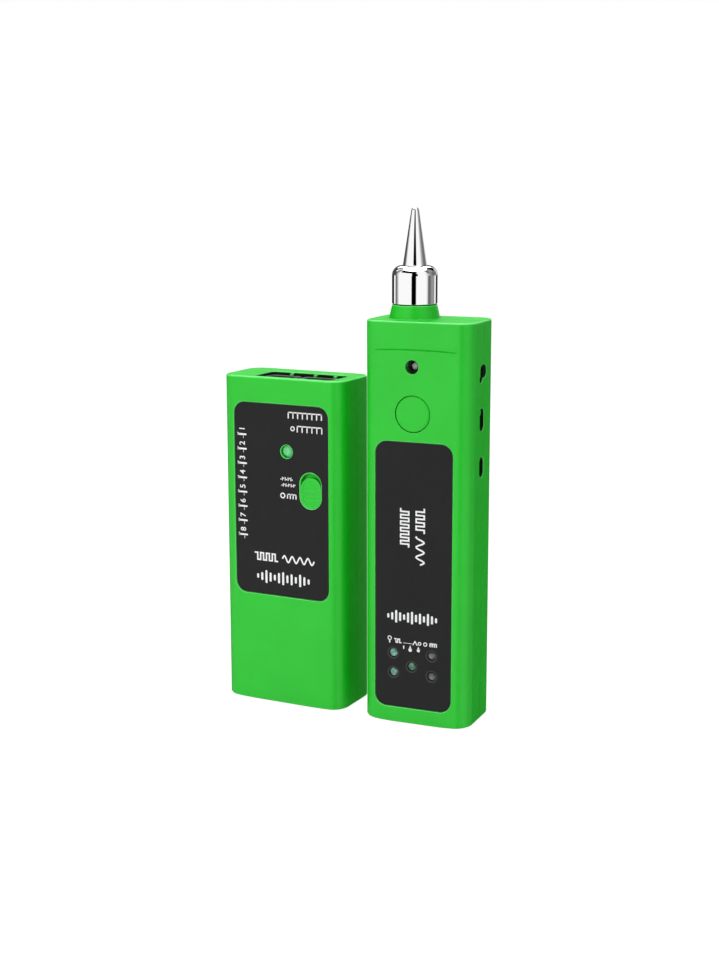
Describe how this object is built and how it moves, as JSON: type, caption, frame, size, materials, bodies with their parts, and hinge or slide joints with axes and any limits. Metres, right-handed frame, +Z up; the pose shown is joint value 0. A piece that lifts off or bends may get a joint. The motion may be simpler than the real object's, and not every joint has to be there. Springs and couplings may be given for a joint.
{
  "type": "network cable tester",
  "caption": "Two-piece cable tester kit: a flat transmitter box with network and telephone sockets, and a taller receiver with a metal probe tip, button, lamps and side ports.",
  "frame": {"origin": "centre of the footprint of the two units, on the surface they stand on", "axes": "+Z up along the probe, -Y out of the fronts, +X from the transmitter towards the receiver"},
  "size_m": [0.0912, 0.025, 0.1697],
  "materials": {
    "green_plastic": "satin moulded ABS",
    "label_film": "printed overlay, satin",
    "black_plastic": "moulded, satin",
    "board_laminate": "solder mask",
    "chrome": "polished",
    "steel": "plated",
    "gold_plate": "gold plated",
    "lens_green": "tinted lens",
    "lens_clear": "smoked clear lens",
    "battery_sleeve": "plain sleeve"
  },
  "bodies": {
    "transmitter": {"tx_front_shell": "green_plastic", "tx_rear_shell": "green_plastic", "tx_label_panel": "label_film", "tx_rj11_jack": "black_plastic", "tx_rj45_jack": "black_plastic", "tx_battery_snap": "black_plastic", "tx_circuit_board": "board_laminate", "tx_switch_body": "steel", "tx_case_screw_1": "steel", "tx_case_screw_2": "steel", "tx_case_screw_3": "steel", "tx_case_screw_4": "steel", "tx_rj11_contacts": "gold_plate", "tx_rj45_contacts": "gold_plate", "tx_status_led": "lens_green", "tx_battery": "battery_sleeve"},
    "receiver": {"rx_front_shell": "green_plastic", "rx_rear_shell": "green_plastic", "rx_neck": "green_plastic", "rx_label_panel": "label_film", "rx_earphone_jack": "black_plastic", "rx_side_switch_body": "black_plastic", "rx_speaker": "black_plastic", "rx_circuit_board": "board_laminate", "rx_ferrule": "chrome", "rx_probe_tip": "chrome", "rx_torch_cup": "chrome", "rx_button_switch": "steel", "rx_charging_port": "steel", "rx_case_screw_1": "steel", "rx_case_screw_2": "steel", "rx_case_screw_3": "steel", "rx_case_screw_4": "steel", "rx_tip_contact": "gold_plate", "rx_led_1": "lens_green", "rx_led_2": "lens_green", "rx_led_3": "lens_green", "rx_torch_led": "lens_clear", "rx_led_4": "lens_clear", "rx_led_5": "lens_clear", "rx_battery": "battery_sleeve"},
    "tx_switch": {"tx_switch_knob": "green_plastic"},
    "tx_door": {"tx_battery_door": "green_plastic"},
    "rx_button": {"rx_scan_button": "green_plastic"},
    "rx_side_switch": {"rx_side_switch_knob": "green_plastic"}
  },
  "joints": [
    {"name": "receiver_lift", "type": "slide", "parent": "transmitter", "child": "receiver", "axis": [0, 0, 1], "range_m": [0, 0.25]},
    {"name": "tx_switch_slide", "type": "slide", "parent": "transmitter", "child": "tx_switch", "axis": [0, 0, 1], "range_m": [0, 0.0016]},
    {"name": "tx_door_tilt", "type": "hinge", "parent": "transmitter", "child": "tx_door", "pos_m": [-0.02261, 0.01063, 0.0047], "axis": [-1, 0, 0], "range_deg": [0, 70]},
    {"name": "rx_button_press", "type": "slide", "parent": "receiver", "child": "rx_button", "axis": [-0.0663, 0.9978, 0], "range_m": [0, 0.0008], "stiffness_N_per_m": 400},
    {"name": "rx_switch_slide", "type": "slide", "parent": "receiver", "child": "rx_side_switch", "axis": [0, 0, -1], "range_m": [0, 0.004]}
  ]
}
